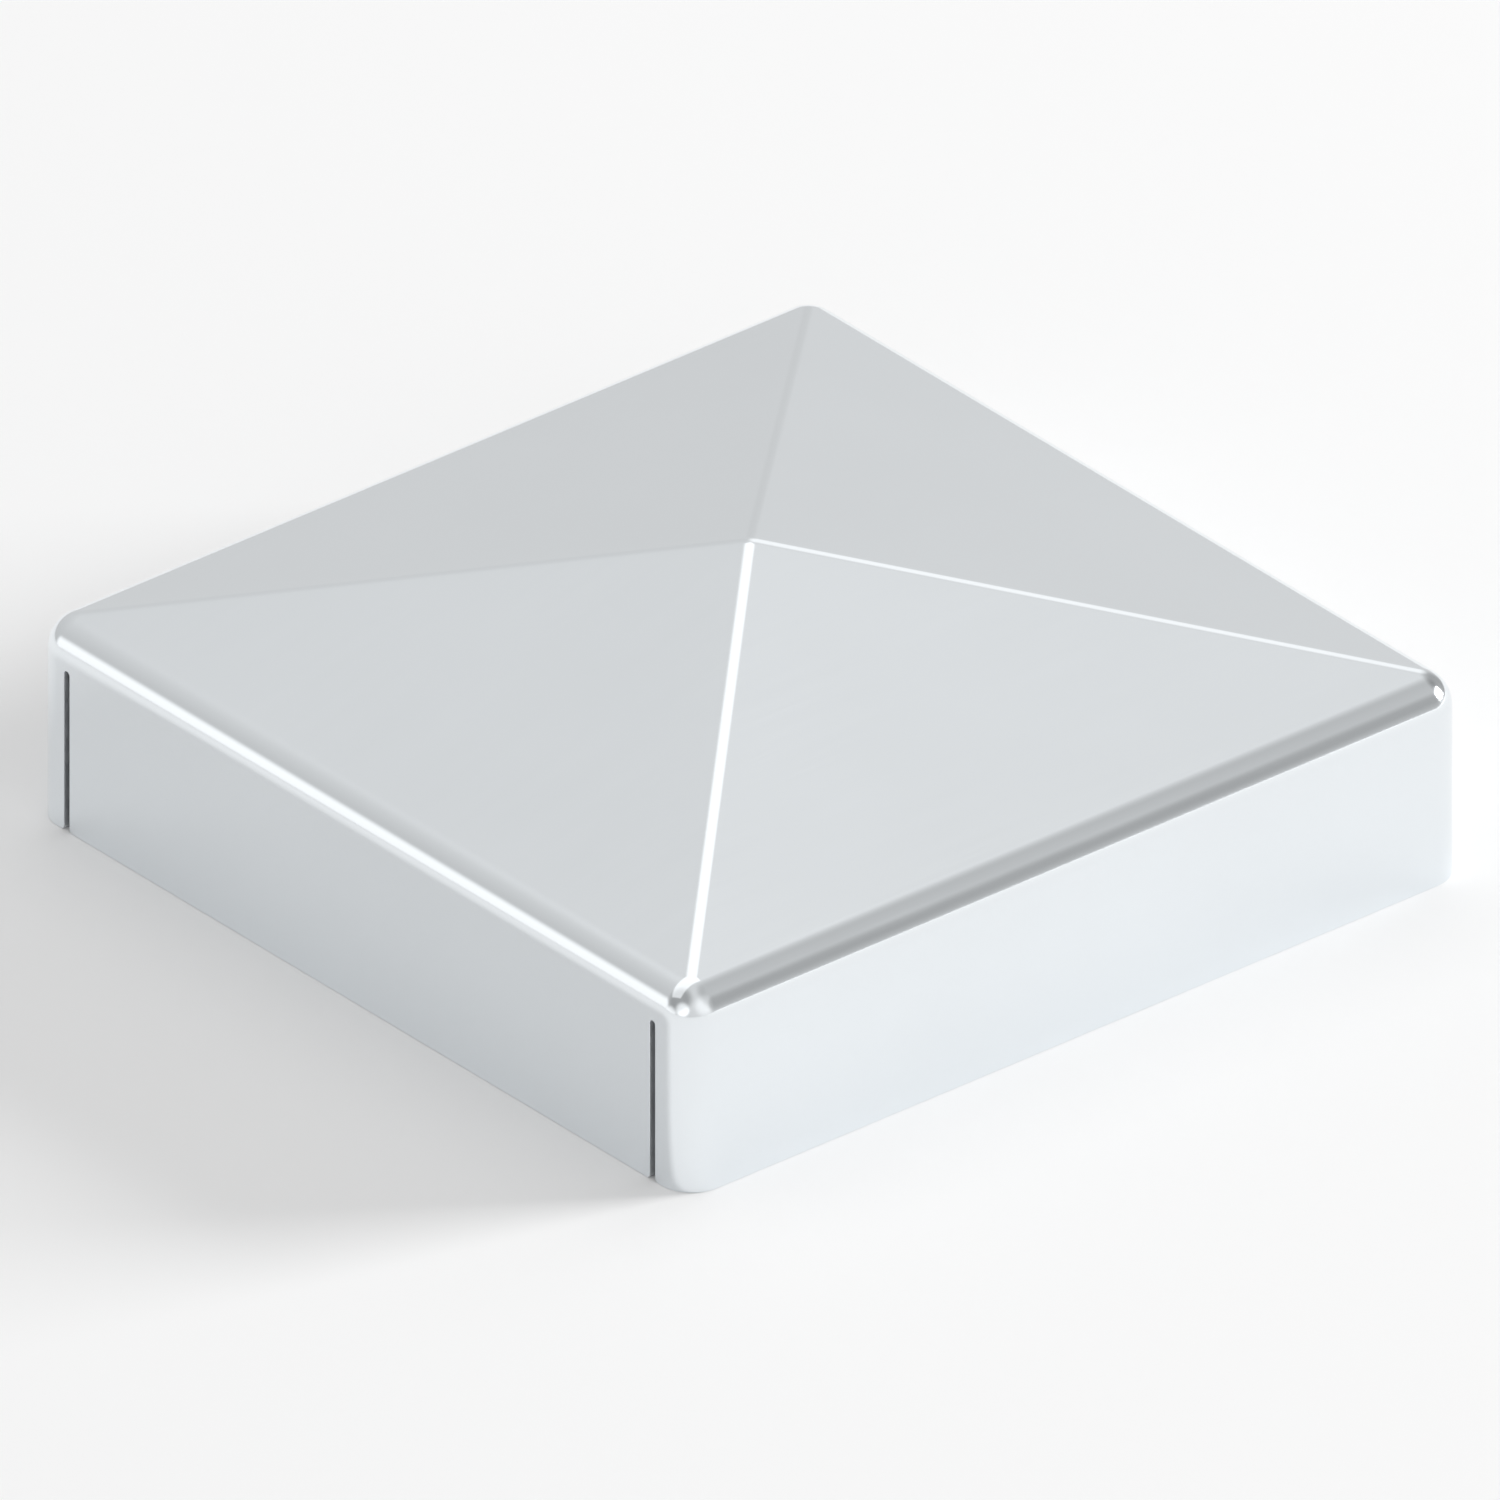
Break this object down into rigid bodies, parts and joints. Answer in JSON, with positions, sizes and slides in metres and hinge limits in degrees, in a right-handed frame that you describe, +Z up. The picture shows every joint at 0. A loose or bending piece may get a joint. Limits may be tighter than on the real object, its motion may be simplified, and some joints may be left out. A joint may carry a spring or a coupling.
{
  "type": "post cap",
  "caption": "Square post cap folded from one metal sheet, with a low pyramid roof that sheds rain and skirts that drop over the end of a square post.",
  "frame": {"origin": "centre of the rim plane, where the four skirts end", "axes": "+Z up through the apex of the roof, X and Y square to the skirts, with the slit flaps on the X sides"},
  "size_m": [0.103, 0.103, 0.0352],
  "materials": {
    "sheet_metal": "smooth and bright, with a fine satin grain"
  },
  "bodies": {
    "root": {"post_cap": "sheet_metal"}
  },
  "joints": []
}
